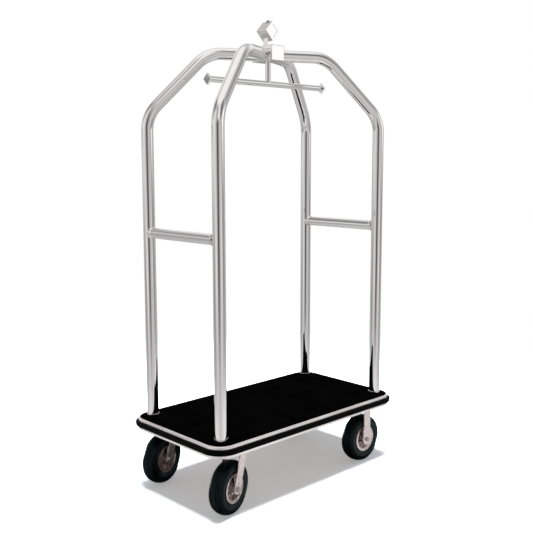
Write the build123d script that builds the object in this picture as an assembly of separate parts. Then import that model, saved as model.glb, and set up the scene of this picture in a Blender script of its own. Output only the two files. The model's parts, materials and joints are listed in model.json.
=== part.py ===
from build123d import *
import math
import os

os.makedirs("parts", exist_ok=True)

# A hotel luggage cart: a carpeted deck on four pneumatic wheels, and two tube hoops that cross over it
# on the diagonals and meet in a block that carries a hanger bar below and a cube finial above.
#
# Frame: millimetres, Z up, origin on the floor under the middle of the deck. X runs along the cart,
# with the swivel casters at -X (left) and the rigid ones at +X (right). -Y is the front long side.

# ---------------------------------------------------------------- driving dimensions
# wheels
wheel_diameter = 222.0
tyre_width = 67.0
tyre_tread_thickness = 8.0
tyre_wall = 6.5
tyre_shoulder_drop = 7.5       # how far the tread falls away from its middle to its shoulder
tyre_shoulder_width = 54.0
bead_seat_diameter = 102.0
rim_flange_diameter = 123.0
rim_inside_width = 49.5        # between the two flanges
rim_metal = 3.0
rim_lip_width = 2.5            # the curled lip outside each flange
rim_disc_thickness = 6.0
rim_rib_count = 10
rim_rib_thickness = 3.0
wheel_hub_diameter = 46.0
wheel_hub_length = 54.0
bearing_outside_diameter = 35.0
bearing_width = 11.0
sleeve_diameter = 20.0
axle_diameter = 12.0

# casters
trail = 48.0                   # how far the swivel wheel follows behind its king pin
swing = 15.0                   # how far both swivel casters stand turned at rest, degrees
fork_metal = 5.0
fork_side_gap = 5.5            # tyre wall to fork leg
fork_top_gap = 18.0            # tyre tread to fork crown
fork_leg_width = 44.0
rigid_fork_eye_diameter = 56.0
race_height = 10.0             # between the fork crown and the top plate
race_diameter = 74.0
ball_diameter = 9.4
ball_count = 14
ball_circle_diameter = 52.0
king_pin_diameter = 16.0
king_pin_head = 26.0
king_pin_head_height = 5.0
top_plate_size = 98.0
top_plate_thickness = 4.0
mount_bolt_spacing = 76.0
mount_bolt_diameter = 8.0
caster_inset = 71.5            # long sides of the deck to the king pins and rigid wheels
swivel_inset = 148.0           # left end of the deck to the king pins
rigid_inset = 167.0            # right end of the deck to the rigid axles

# deck
deck_length = 1112.0           # over the steel edge
deck_width = 596.0
deck_corner_radius = 80.0
edge_height = 49.0
edge_depth = 8.0               # the edge channel, outside face to inside face
edge_round = 5.0
band_height = 13.0             # bright band above the bumper
lip_height = 13.0              # thin lip below the bumper
channel_depth = 5.0            # how far the bumper sits in
bumper_proud = 12.0
bumper_round = 8.0             # or as much as the bumper's height leaves room for
carpet_thickness = 4.0
board_thickness = 16.0
beam_width = 100.0             # the box beams that carry the casters
beam_wall = 3.0
stringer_width = 40.0          # the two lighter cross tubes between them
stringer_spacing = 300.0
corner_plate_thickness = 6.0
corner_plate_width = 104.0
screw_diameter = 5.0
screw_head = 10.0

# hoops
tube_diameter = 50.8
tube_wall = 1.6
post_inset_x = 70.5            # ends of the deck to the posts' middles
post_inset_y = 68.0            # long sides of the deck to the posts' middles
hoop_rise = 1569.0             # flat top of the hoops over the deck, at the tube's middle
hoop_flat_half = 272.0         # middle of the cart to the upper bend, along the diagonal
hoop_slope = 45.0              # of the sloping run, degrees
bend_radius = 150.0
collar_wall = 2.6
collar_height = 14.0           # over the carpet; the collars stand on the board
plug_height = 40.0
post_bolt_diameter = 12.0
rail_diameter = 44.5
rail_rise = 810.5              # over the deck
saddle_wall = 3.75             # over the rail
saddle_length = 12.0

# hub, finial and hanger
hub_length = 78.0
hub_depth = 124.0
hub_height = 66.0
hub_lift = 6.0                 # the hub's middle over the tubes' middle
finial_side = 60.0
finial_depth = 62.0
finial_bottom_rise = 21.0      # lower edge of the cube over the hub
finial_panel = 40.0
finial_panel_depth = 1.5
finial_flat = 18.0             # width of the flat on the cube's top edge, under the nut
finial_nut_height = 9.0
finial_nut_dome = 5.0
neck_width = 29.0
neck_overlap = 13.0            # how far up the neck cradles the cube
tie_rod_diameter = 10.0
tie_rod_in_hanger = 50.0
drop_tube_diameter = 25.4
bar_diameter = 25.4
bar_wall = 2.0
spigot_length = 20.0
bar_drop = 94.0                # hub to the middle of the bar
bar_length = 676.0
cap_side = 36.0
cap_thickness = 9.0

# clearances
running_fit = 0.05             # on the radius, between a shaft and what turns on it
press_fit = 0.02               # on the radius, between pieces driven together
slip_fit = 0.3                 # between pieces that lie side by side
play = 0.3                     # between faces that move past each other

# ---------------------------------------------------------------- places worked out from them
wheel_radius = wheel_diameter / 2
crown_bottom = wheel_diameter + fork_top_gap
crown_top = crown_bottom + fork_metal
plate_bottom = crown_top + race_height
edge_bottom = plate_bottom + top_plate_thickness
deck_top = edge_bottom + edge_height
board_top = deck_top - carpet_thickness
board_bottom = board_top - board_thickness
bumper_bottom = edge_bottom + lip_height
bumper_top = deck_top - band_height
deck_inset = edge_depth + slip_fit
corner_plate_bottom = board_bottom - corner_plate_thickness

half_gap = tyre_width / 2 + fork_side_gap      # wheel middle to the inside of a fork leg
fork_half = half_gap + fork_metal
caster_y = deck_width / 2 - caster_inset

post_x = deck_length / 2 - post_inset_x
post_y = deck_width / 2 - post_inset_y
post_reach = math.hypot(post_x, post_y)
post_angle = math.degrees(math.atan2(post_y, post_x))
tube_radius = tube_diameter / 2
tube_bore = tube_radius - tube_wall
hoop_top = deck_top + hoop_rise
shoulder_z = hoop_top - (post_reach - hoop_flat_half) * math.tan(math.radians(hoop_slope))
rail_z = deck_top + rail_rise
collar_diameter = tube_diameter + 2 * collar_wall
saddle_diameter = rail_diameter + 2 * saddle_wall

hub_bottom = hoop_top + hub_lift - hub_height / 2
hub_top = hoop_top + hub_lift + hub_height / 2
finial_z = hub_top + finial_bottom_rise + finial_side / math.sqrt(2)
finial_seat_z = finial_z + finial_side / math.sqrt(2) - finial_flat / 2
bar_z = hub_bottom - bar_drop

sides = {"front": -1, "back": 1}
ends = {"left": -1, "right": 1}
beam_x = {"left": swivel_inset - deck_length / 2, "right": deck_length / 2 - rigid_inset}


# ---------------------------------------------------------------- helpers
def block(x0, x1, y0, y1, z0, z1):
    """A box between two opposite corners."""
    size = Box(x1 - x0, y1 - y0, z1 - z0)
    return Pos((x0 + x1) / 2, (y0 + y1) / 2, (z0 + z1) / 2) * size


def rod(x, y, z0, z1, radius):
    """An upright cylinder."""
    return Pos(x, y, (z0 + z1) / 2) * Cylinder(radius, z1 - z0)


def cross_rod(y0, y1, radius):
    """A cylinder along Y through the local origin."""
    return Pos(0, (y0 + y1) / 2, 0) * Rot(90, 0, 0) * Cylinder(radius, y1 - y0)


def hexagon(x, y, z0, z1, across_flats):
    """An upright hexagonal prism, for bolt heads and nuts."""
    outline = RegularPolygon(across_flats / 2, 6, major_radius=False)
    return Pos(x, y, z0) * extrude(outline, z1 - z0)


def slab(offset, z0, z1):
    """The deck's rounded outline, grown by an offset, between two heights."""
    length = deck_length + 2 * offset
    width = deck_width + 2 * offset
    outline = RectangleRounded(length, width, deck_corner_radius + offset)
    return Pos(0, 0, z0) * extrude(outline, z1 - z0)


def posts():
    """Each post's name and where it stands."""
    for side, sy in sides.items():
        for end, sx in ends.items():
            yield side + "_" + end, sx, sy


def ring_section(points):
    """A closed outline of (radius, width) points, turned round the Y axis."""
    return revolve(make_face(Polyline(*points, close=True)), axis=Axis.Y)


# ---------------------------------------------------------------- deck
def edge_frame():
    """Steel edge: bright band above, channel for the bumper, and thin lip below."""
    body = slab(0, edge_bottom, deck_top)
    body = fillet(body.faces().sort_by(Axis.Z)[-1].edges(), edge_round)
    channel = slab(bumper_proud, bumper_bottom, bumper_top) - slab(-channel_depth, bumper_bottom, bumper_top)
    return body - channel - slab(-edge_depth, edge_bottom - 1, deck_top + 1)


def edge_bumper():
    """Black rubber buffer, pressed into the edge's channel and rounded outside."""
    bottom = bumper_bottom + press_fit
    top = bumper_top - press_fit
    body = slab(bumper_proud, bottom, top)
    rims = body.faces().sort_by(Axis.Z)[-1].edges() + body.faces().sort_by(Axis.Z)[0].edges()
    body = fillet(rims, min(bumper_round, (top - bottom) / 2 - 1))
    return body - slab(press_fit - channel_depth, bottom - 1, top + 1)


def post_holes(z0, z1, diameter):
    """Holes for the four posts, or for the collars round them."""
    radius = diameter / 2 + slip_fit
    return Part() + [rod(sx * post_x, sy * post_y, z0, z1, radius) for name, sx, sy in posts()]


def deck_carpet():
    """Black carpet inside the edge, cut out round the collars."""
    return slab(-deck_inset, board_top, deck_top) - post_holes(board_top - 1, deck_top + 1, collar_diameter)


def screw_places():
    """Three screws into each of the four cross members."""
    rows = [beam_x["left"], -stringer_spacing / 2, stringer_spacing / 2, beam_x["right"]]
    return [(x, y) for x in rows for y in (-deck_width / 4, 0, deck_width / 4)]


def countersink(x, y, extra):
    """A countersunk screw's outline from the board's top down, or its hole when extra is added."""
    head_height = (screw_head - screw_diameter) / 2
    head = Cone(screw_diameter / 2 + extra, screw_head / 2 + extra, head_height)
    shank = rod(x, y, board_bottom - beam_wall - 2, board_top - head_height, screw_diameter / 2 + extra)
    return shank + Pos(x, y, board_top - head_height / 2) * head


def deck_board():
    """Plywood board that lies on the cross members."""
    board = slab(-deck_inset, board_bottom, board_top)
    board = board - post_holes(board_bottom - 1, board_top + 1, tube_diameter)
    return board - [countersink(x, y, running_fit) for x, y in screw_places()]


def deck_screws():
    """Screws that hold the board down."""
    return [countersink(x, y, 0) for x, y in screw_places()]


def cross_tube(x, width):
    """A box tube across the deck between the edge's inside faces."""
    reach = deck_width / 2 - edge_depth
    outside = block(x - width / 2, x + width / 2, -reach, reach, edge_bottom, board_bottom)
    bore = block(
        x - width / 2 + beam_wall,
        x + width / 2 - beam_wall,
        -reach - 1,
        reach + 1,
        edge_bottom + beam_wall,
        board_bottom - beam_wall,
    )
    return outside - bore


def screw_holes(x):
    """The deck screws' holes in the cross tube at this x."""
    radius = screw_diameter / 2 + running_fit
    places = [y for sx, y in screw_places() if sx == x]
    return [rod(x, y, board_bottom - beam_wall - 1, board_bottom + 1, radius) for y in places]


def bolt_places(end):
    """The bolts of both casters at one end."""
    half = mount_bolt_spacing / 2
    steps = [(dx, dy) for dx in (-half, half) for dy in (-half, half)]
    return [(beam_x[end] + dx, sy * caster_y + dy) for sy in sides.values() for dx, dy in steps]


def caster_beam(end):
    """Wide box beam with both casters bolted under it."""
    beam = cross_tube(beam_x[end], beam_width) - screw_holes(beam_x[end])
    radius = mount_bolt_diameter / 2 + slip_fit
    holes = [rod(x, y, edge_bottom - 1, edge_bottom + beam_wall + 1, radius) for x, y in bolt_places(end)]
    return beam - holes


def stringer(end):
    """Lighter cross tube under the middle of the board."""
    x = ends[end] * stringer_spacing / 2
    return cross_tube(x, stringer_width) - screw_holes(x)


def corner_plates():
    """Plates welded into the frame's corners, for the posts to stand on."""
    plates = []
    inside = slab(-edge_depth, corner_plate_bottom, board_bottom)
    for name, sx, sy in posts():
        beam_edge = abs(beam_x["left" if sx < 0 else "right"]) + beam_width / 2
        near_x = sx * beam_edge
        far_x = sx * deck_length / 2
        near_y = sy * (deck_width / 2 - edge_depth - corner_plate_width)
        far_y = sy * deck_width / 2
        corner = block(
            min(near_x, far_x),
            max(near_x, far_x),
            min(near_y, far_y),
            max(near_y, far_y),
            corner_plate_bottom,
            board_bottom,
        )
        radius = post_bolt_diameter / 2 + slip_fit
        hole = rod(sx * post_x, sy * post_y, corner_plate_bottom - 1, board_bottom + 1, radius)
        plates.append((inside & corner) - hole)
    return plates


# ---------------------------------------------------------------- hoops
def hoop_tube(radius):
    """A quarter of the two hoops as a solid round bar: post, slope and flat, in the XZ plane."""
    path = FilletPolyline(
        (post_reach, 0, board_bottom),
        (post_reach, 0, shoulder_z),
        (hoop_flat_half, 0, hoop_top),
        (0, 0, hoop_top),
        radius=bend_radius,
    )
    return sweep(Pos(post_reach, 0, board_bottom) * Circle(radius), path=path)


def upright(sx, sy):
    """One quarter, mitred against its neighbour and butted on the hub."""
    reach = post_reach + tube_diameter
    tube = Rot(0, 0, post_angle) * (hoop_tube(tube_radius) - hoop_tube(tube_bore))
    tube = tube & block(hub_length / 2, reach, 0, reach, 0, hoop_top + tube_diameter)
    if sx < 0:
        tube = mirror(tube, about=Plane.YZ)
    if sy < 0:
        tube = mirror(tube, about=Plane.XZ)
    return tube


def post_collars():
    """Cover rings on the board round the foot of each post."""
    top = deck_top + collar_height
    collars = []
    for name, sx, sy in posts():
        ring = rod(0, 0, board_top, top, collar_diameter / 2)
        ring = fillet(ring.faces().sort_by(Axis.Z)[-1].edges(), collar_wall / 2)
        ring = ring - rod(0, 0, board_top - 1, top + 1, tube_radius + press_fit)
        collars.append(Pos(sx * post_x, sy * post_y, 0) * ring)
    return collars


def post_plugs():
    """Threaded plugs driven into the feet of the posts."""
    top = board_bottom + plug_height
    plugs = []
    for name, sx, sy in posts():
        plug = rod(sx * post_x, sy * post_y, board_bottom, top, tube_bore - press_fit)
        bore = rod(sx * post_x, sy * post_y, board_bottom - 1, top + 1, post_bolt_diameter / 2 + press_fit)
        plugs.append(plug - bore)
    return plugs


def post_bolts():
    """Hexagon bolts that pull each post down on its corner plate."""
    size = post_bolt_diameter
    bolts = []
    for name, sx, sy in posts():
        x = sx * post_x
        y = sy * post_y
        shank = rod(x, y, corner_plate_bottom, board_bottom + plug_height - 6, size / 2)
        head = hexagon(x, y, corner_plate_bottom - 0.65 * size, corner_plate_bottom, 1.5 * size)
        bolts.append(shank + head)
    return bolts


def end_rail(sx):
    """Tube between the two posts at one end, coped to their round."""
    half = post_y
    outside = cross_rod(-half, half, rail_diameter / 2)
    bore = cross_rod(-half - 1, half + 1, rail_diameter / 2 - tube_wall)
    tube = Pos(sx * post_x, 0, rail_z) * (outside - bore)
    for sy in sides.values():
        tube = tube - rod(sx * post_x, sy * post_y, rail_z - rail_diameter, rail_z + rail_diameter, tube_radius)
    return tube


def rail_saddle(sx, sy):
    """Flared collar that covers the joint between a rail and a post."""
    inner = rail_diameter / 2 + press_fit
    outer = saddle_diameter / 2
    root = tube_radius + saddle_length
    start = -post_y
    flare = ring_section(
        [
            (inner, start),
            (outer, start),
            (outer, start + root - saddle_length / 2),
            (inner + 1, start + root),
            (inner, start + root),
        ]
    )
    flare = flare - rod(0, -post_y, -saddle_diameter, saddle_diameter, tube_radius)
    flare = flare & block(-outer, outer, start, 0, -outer, outer)
    if sy > 0:
        flare = mirror(flare, about=Plane.XZ)
    return Pos(sx * post_x, 0, rail_z) * flare


def rail_saddles():
    """All four saddles."""
    return [rail_saddle(sx, sy) for name, sx, sy in posts()]


# ---------------------------------------------------------------- hub, finial and hanger
def rod_hole(z0, z1):
    """The tie rod's hole on the middle line."""
    return rod(0, 0, z0, z1, tie_rod_diameter / 2 + running_fit)


def hub_block():
    """Block that the four tubes butt on."""
    half_x = hub_length / 2
    half_y = hub_depth / 2
    body = block(-half_x, half_x, -half_y, half_y, hub_bottom, hub_top)
    corners = body.faces().filter_by(Axis.Y).edges()
    body = chamfer(corners, 1.5)
    return body - rod_hole(hub_bottom - 1, hub_top + 1)


def turned_cube(side, depth):
    """A square bar along Y, standing on one edge at the finial's place."""
    return Pos(0, 0, finial_z) * Rot(0, 45, 0) * Box(side, depth, side)


def finial_cube():
    """Cube on its edge, with a sunk square panel on its front and back and a flat for the nut."""
    cube = chamfer(turned_cube(finial_side, finial_depth).edges(), 1.2)
    for sy in sides.values():
        panel = turned_cube(finial_panel, 2 * finial_panel_depth)
        cube = cube - Pos(0, sy * finial_depth / 2, 0) * panel
    seat = rod(0, 0, finial_seat_z, finial_seat_z + finial_side, finial_flat / 2)
    return cube - seat - rod_hole(hub_top, finial_seat_z + 1)


def finial_nut():
    """Acorn nut that the tie rod ends in, in a round seat in the cube's top edge."""
    top = finial_seat_z + finial_nut_height
    across = finial_flat - 2 * slip_fit
    dome = Pos(0, 0, top) * Sphere(across / 2 * 0.8)
    dome = dome & rod(0, 0, top, top + finial_nut_dome, across / 2)
    nut = hexagon(0, 0, finial_seat_z, top, across * math.cos(math.pi / 6))
    hole = rod(0, 0, finial_seat_z - 1, top, tie_rod_diameter / 2 + press_fit)
    return nut + dome - hole


def finial_neck():
    """Square neck that cradles the cube's lower edge."""
    half = neck_width / 2
    neck = block(-half, half, -half, half, hub_top, hub_top + finial_bottom_rise + neck_overlap)
    neck = neck - turned_cube(finial_side + 2 * press_fit, finial_depth)
    return neck - rod_hole(hub_top - 1, finial_z)


def tie_rod():
    """Threaded rod through the hanger, the hub, the neck and the cube into the acorn nut."""
    top = finial_seat_z + finial_nut_height - slip_fit
    return rod(0, 0, hub_bottom - tie_rod_in_hanger, top, tie_rod_diameter / 2)


def bar_round(radius, half):
    """A cylinder along X at the hanger bar's height."""
    return Pos(0, 0, bar_z) * Rot(0, 90, 0) * Cylinder(radius, 2 * half)


def hanger_drop_tube():
    """Thick tube from the hub down to the bar, coped to its round."""
    tube = rod(0, 0, bar_z, hub_bottom, drop_tube_diameter / 2)
    tube = tube - rod_hole(bar_z - 1, hub_bottom + 1)
    return tube - bar_round(bar_diameter / 2, drop_tube_diameter)


def hanger_bar():
    """Bar that garment bags hang from."""
    half = bar_length / 2
    return bar_round(bar_diameter / 2, half) - bar_round(bar_diameter / 2 - bar_wall, half + 1)


def hanger_cap(sx):
    """Square end cap, standing on a corner, with a spigot in the bar."""
    body = Rot(45, 0, 0) * Box(cap_thickness, cap_side, cap_side)
    body = chamfer(body.edges(), 1.5)
    x = sx * (bar_length / 2 + cap_thickness / 2)
    spigot = Rot(0, 90, 0) * Cylinder(bar_diameter / 2 - bar_wall - press_fit, spigot_length)
    return Pos(x, 0, bar_z) * (body + Pos(-sx * (cap_thickness + spigot_length) / 2, 0, 0) * spigot)


# ---------------------------------------------------------------- wheels, axis along Y, middle at 0,0,0
seat_radius = bead_seat_diameter / 2
flange_radius = rim_flange_diameter / 2
flange_half = rim_inside_width / 2
hub_radius = wheel_hub_diameter / 2
hub_half = wheel_hub_length / 2


def tyre():
    """Hollow pneumatic tyre: beads on the rim, bulging walls and a rounded tread."""
    bead_r = seat_radius + press_fit
    bead_w = flange_half - slip_fit
    bulge_r = (flange_radius + wheel_radius) / 2 - 3
    bulge_w = tyre_width / 2
    shoulder_r = wheel_radius - tyre_shoulder_drop
    shoulder_w = tyre_shoulder_width / 2
    toe_w = bead_w - 2 * tyre_wall
    toe_r = seat_radius + 9
    inner_r = shoulder_r - tyre_wall
    inner_w = shoulder_w - tyre_wall
    outline = Line((bead_r, toe_w), (bead_r, bead_w))
    outline += Line((bead_r, bead_w), (flange_radius, bead_w))
    outline += ThreePointArc((flange_radius, bead_w), (bulge_r, bulge_w), (shoulder_r, shoulder_w))
    outline += ThreePointArc((shoulder_r, shoulder_w), (wheel_radius, 0), (shoulder_r, -shoulder_w))
    outline += ThreePointArc((shoulder_r, -shoulder_w), (bulge_r, -bulge_w), (flange_radius, -bead_w))
    outline += Line((flange_radius, -bead_w), (bead_r, -bead_w))
    outline += Line((bead_r, -bead_w), (bead_r, -toe_w))
    outline += Line((bead_r, -toe_w), (toe_r, -toe_w))
    outline += ThreePointArc((toe_r, -toe_w), (bulge_r, tyre_wall - bulge_w), (inner_r, -inner_w))
    outline += ThreePointArc((inner_r, -inner_w), (wheel_radius - tyre_tread_thickness, 0), (inner_r, inner_w))
    outline += ThreePointArc((inner_r, inner_w), (bulge_r, bulge_w - tyre_wall), (toe_r, toe_w))
    outline += Line((toe_r, toe_w), (bead_r, toe_w))
    return revolve(make_face(outline), axis=Axis.Y)


def rim():
    """Steel rim: flanged barrel, disc with ribs on both sides, and hub with bearing seats."""
    bore = seat_radius - rim_metal
    pocket = bearing_outside_diameter / 2
    pocket_w = hub_half - bearing_width
    half = [
        (seat_radius, flange_half),
        (flange_radius, flange_half),
        (flange_radius, flange_half + rim_metal + rim_lip_width),
        (flange_radius - rim_metal, flange_half + rim_metal + rim_lip_width),
        (flange_radius - rim_metal, flange_half + rim_metal),
        (bore, flange_half + rim_metal),
        (bore, rim_disc_thickness / 2),
        (hub_radius, rim_disc_thickness / 2),
        (hub_radius, hub_half),
        (pocket, hub_half),
        (pocket, pocket_w),
        (pocket - rim_metal, pocket_w),
    ]
    body = ring_section(half + [(r, -w) for r, w in reversed(half)])
    rib_in = hub_radius - 1
    rib_out = bore + 1
    rib = Polyline((rib_in, 0), (rib_out, 0), (rib_out, hub_half - 8), (rib_in, hub_half - 2), close=True)
    blade = extrude(make_face(rib), rim_rib_thickness / 2, both=True)
    ribs = []
    for turn in range(rim_rib_count):
        one = Rot(0, turn * 360 / rim_rib_count, 0) * blade
        ribs += [one, mirror(one, about=Plane.XZ)]
    return body + ribs


def wheel_bearings():
    """A ball bearing in each end of the hub, drawn closed."""
    inner = sleeve_diameter / 2 + running_fit
    outer = bearing_outside_diameter / 2 - press_fit
    ring = cross_rod(0, bearing_width, outer) - cross_rod(-1, bearing_width + 1, inner)
    start = hub_half - bearing_width
    return [Pos(0, start, 0) * ring, Pos(0, -start - bearing_width, 0) * ring]


def axle_sleeve():
    """Fixed sleeve between the fork legs that the bearings turn on."""
    outside = cross_rod(-half_gap, half_gap, sleeve_diameter / 2)
    return outside - cross_rod(-half_gap - 1, half_gap + 1, axle_diameter / 2 + press_fit)


def axle():
    """Axle bolt with its head on one fork leg and its nut on the other."""
    size = axle_diameter
    head = Rot(90, 0, 0) * hexagon(0, 0, fork_half, fork_half + 0.65 * size, 1.5 * size)
    nut = Rot(-90, 0, 0) * hexagon(0, 0, fork_half, fork_half + 0.8 * size, 1.5 * size)
    nut = nut - cross_rod(fork_half - 1, fork_half + size, size / 2 + press_fit)
    shank = cross_rod(-fork_half, fork_half + 0.8 * size + 2, size / 2)
    return [shank + head, nut]


# ---------------------------------------------------------------- casters
def leg_outline(top_half, top_z, axle_x, eye_radius):
    """A leg from its top edge down to a round eye at the axle, in the XZ plane."""
    run = Vector(axle_x, 0, wheel_radius) - Vector(0, 0, top_z)
    side = Vector(-run.Z, 0, run.X).normalized() * (fork_leg_width / 2)
    low = [(axle_x - side.X, wheel_radius - side.Z), (axle_x + side.X, wheel_radius + side.Z)]
    if low[0][0] > low[1][0]:
        low.reverse()
    outline = Polygon(low[0], low[1], (top_half, top_z), (-top_half, top_z), align=None)
    eye = Pos(axle_x, wheel_radius) * Circle(eye_radius)
    return outline + eye


def fork_legs(outline, axle_x):
    """Both legs, with the axle's hole."""
    hole = Pos(axle_x, 0, wheel_radius) * cross_rod(-fork_half - 1, fork_half + 1, axle_diameter / 2 + press_fit)
    one = Plane.XZ * outline
    leg = extrude(one, fork_metal, dir=(0, -1, 0))
    return Pos(0, fork_half, 0) * leg + Pos(0, -half_gap, 0) * leg - hole


def swivel_fork():
    """Trailing fork: a crown plate that turns on the king pin, and two leaning legs."""
    top_half = fork_leg_width / 2 + 2
    legs = fork_legs(leg_outline(top_half, crown_top, -trail, fork_leg_width / 2), -trail)
    crown = rod(0, 0, crown_bottom, crown_top, race_diameter / 2)
    crown = crown + block(-top_half, top_half, -fork_half, fork_half, crown_bottom, crown_top)
    hole = rod(0, 0, crown_bottom - 1, crown_top + 1, king_pin_diameter / 2 + running_fit)
    return legs + crown - hole


def rigid_fork():
    """Upright fork with its own top plate, flared to a round eye at the axle."""
    legs = fork_legs(leg_outline(fork_leg_width / 2, edge_bottom, 0, fork_leg_width / 2), 0)
    flare_top = wheel_radius + rigid_fork_eye_diameter
    eye = Pos(0, wheel_radius) * Circle(rigid_fork_eye_diameter / 2)
    flare = Polygon(
        (-rigid_fork_eye_diameter / 2, wheel_radius + 4),
        (rigid_fork_eye_diameter / 2, wheel_radius + 4),
        (fork_leg_width / 2, flare_top),
        (-fork_leg_width / 2, flare_top),
        align=None,
    )
    legs = legs + fork_legs(eye + flare, 0)
    half = top_plate_size / 2
    plate = block(-half, half, -half, half, edge_bottom - fork_metal, edge_bottom)
    return legs + plate - plate_bolt_holes()


def plate_bolt_holes():
    """The four bolt holes of a top plate, round the local origin."""
    half = mount_bolt_spacing / 2
    radius = mount_bolt_diameter / 2 + slip_fit
    low = edge_bottom - fork_metal - 1
    return [rod(dx, dy, low, edge_bottom + 1, radius) for dx in (-half, half) for dy in (-half, half)]


def swivel_top_plate():
    """Top plate with the skirt that shields the ball race."""
    half = top_plate_size / 2
    plate = block(-half, half, -half, half, plate_bottom, edge_bottom)
    skirt = rod(0, 0, crown_top + play, plate_bottom, race_diameter / 2)
    skirt = skirt - rod(0, 0, crown_top, plate_bottom, race_diameter / 2 - top_plate_thickness)
    hole = rod(0, 0, plate_bottom - 1, edge_bottom + 1, king_pin_diameter / 2 + press_fit)
    return plate + skirt - plate_bolt_holes() - hole


def king_pin():
    """Pin riveted in the top plate, with a head under the fork's crown."""
    head = rod(0, 0, crown_bottom - play - king_pin_head_height, crown_bottom - play, king_pin_head / 2)
    head = fillet(head.faces().sort_by(Axis.Z)[0].edges(), 2)
    return head + rod(0, 0, crown_bottom - play, edge_bottom, king_pin_diameter / 2)


def ball_cage():
    """Ring of balls in their cage between the crown and the top plate."""
    middle = (crown_top + plate_bottom) / 2
    radius = ball_circle_diameter / 2
    cage = rod(0, 0, middle - 1, middle + 1, radius + 3) - rod(0, 0, middle - 2, middle + 2, radius - 3)
    balls = []
    for turn in range(ball_count):
        balls.append(Rot(0, 0, turn * 360 / ball_count) * Pos(radius, 0, middle) * Sphere(ball_diameter / 2))
    return cage + balls


def caster_bolts():
    """Bolts up through each top plate into the beams, with their nuts inside the beams."""
    size = mount_bolt_diameter
    pieces = []
    for end in ends:
        under = plate_bottom if end == "left" else edge_bottom - fork_metal
        for x, y in bolt_places(end):
            nut_z = edge_bottom + beam_wall
            head = hexagon(x, y, under - 0.65 * size, under, 1.6 * size)
            pieces.append(head + rod(x, y, under, nut_z + size, size / 2))
            nut = hexagon(x, y, nut_z, nut_z + 0.8 * size, 1.6 * size)
            pieces.append(nut - rod(x, y, nut_z - 1, nut_z + size, size / 2 + press_fit))
    return pieces


# ---------------------------------------------------------------- everything, in its place
def write(name, shape):
    """One STEP file for one node, as one solid or a group of them."""
    solids = []
    for item in shape if isinstance(shape, list) else [shape]:
        solids += item.solids()
    one = solids[0] if len(solids) == 1 else Compound(children=solids)
    export_step(one, "parts/" + name + ".step")


write("edge_frame", edge_frame())
write("edge_bumper", edge_bumper())
write("deck_carpet", deck_carpet())
write("deck_board", deck_board())
write("deck_screws", deck_screws())
write("corner_plates", corner_plates())
write("post_collars", post_collars())
write("post_plugs", post_plugs())
write("post_bolts", post_bolts())
write("rail_saddles", rail_saddles())
write("caster_bolts", caster_bolts())
write("hub_block", hub_block())
write("finial_neck", finial_neck())
write("finial_cube", finial_cube())
write("finial_nut", finial_nut())
write("tie_rod", tie_rod())
write("hanger_drop_tube", hanger_drop_tube())
write("hanger_bar", hanger_bar())
for end, sx in ends.items():
    write("caster_beam_" + end, caster_beam(end))
    write("stringer_" + end, stringer(end))
    write("end_rail_" + end, end_rail(sx))
    write("hanger_cap_" + end, hanger_cap(sx))
for name, sx, sy in posts():
    write("upright_" + name, upright(sx, sy))

wheel_pieces = {
    "tyre": tyre(),
    "rim": rim(),
    "bearings": wheel_bearings(),
    "sleeve": axle_sleeve(),
    "axle": axle(),
}
head_pieces = {"top_plate": swivel_top_plate(), "king_pin": king_pin()}
swivel_pieces = {"ball_cage": ball_cage(), "fork": swivel_fork()}
rigid_pieces = {"fork": rigid_fork()}


def place(corner, pieces, where):
    """Writes a set of pieces at one corner of the cart."""
    for piece, shape in pieces.items():
        group = shape if isinstance(shape, list) else [shape]
        write(corner + "_" + piece, [where * item for item in group])


for side, sy in sides.items():
    left = Pos(beam_x["left"], sy * caster_y, 0)
    turned = left * Rot(0, 0, swing)
    right = Pos(beam_x["right"], sy * caster_y, 0)
    place(side + "_left", head_pieces, left)
    place(side + "_left", swivel_pieces, turned)
    place(side + "_left", wheel_pieces, turned * Pos(-trail, 0, wheel_radius))
    place(side + "_right", rigid_pieces, right)
    place(side + "_right", wheel_pieces, right * Pos(0, 0, wheel_radius))
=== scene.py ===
# %% [markdown]
# # A hotel luggage cart
# The cart is a carpeted deck on four pneumatic wheels, under two bright tube hoops that cross over it.
# Its structure, sizes and joints come packed as a fixed frame of CAD nodes. This lesson dresses that
# frame: each step says what a piece or a finish is on the real cart, how it could be made in Blender,
# and why this way was chosen. Lengths are metres, Z is up, and -Y is the cart's front long side.

# %% Load the frame
import json
import math

import bmesh
import bpy
import numpy as np
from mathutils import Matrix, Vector


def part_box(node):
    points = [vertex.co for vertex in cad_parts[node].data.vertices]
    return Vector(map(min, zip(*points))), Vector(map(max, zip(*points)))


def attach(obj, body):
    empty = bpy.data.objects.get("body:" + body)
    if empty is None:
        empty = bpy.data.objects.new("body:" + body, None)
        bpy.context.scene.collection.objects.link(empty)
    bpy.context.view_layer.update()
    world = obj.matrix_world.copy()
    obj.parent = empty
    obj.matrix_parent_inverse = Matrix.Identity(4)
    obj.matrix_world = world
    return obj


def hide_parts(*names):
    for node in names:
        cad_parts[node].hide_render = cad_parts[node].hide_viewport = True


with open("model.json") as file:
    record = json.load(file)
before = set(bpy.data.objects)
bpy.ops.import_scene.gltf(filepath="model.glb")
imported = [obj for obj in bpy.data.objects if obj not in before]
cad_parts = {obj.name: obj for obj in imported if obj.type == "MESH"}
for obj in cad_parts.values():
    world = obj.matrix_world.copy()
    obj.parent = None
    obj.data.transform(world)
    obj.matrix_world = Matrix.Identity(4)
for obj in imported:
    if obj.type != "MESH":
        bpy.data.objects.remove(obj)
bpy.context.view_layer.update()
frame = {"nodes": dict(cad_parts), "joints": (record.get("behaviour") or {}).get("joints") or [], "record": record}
MM = 0.001
slot_of = {part["node"]: part["material_slot"] for part in frame["record"]["subparts"]}
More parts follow.
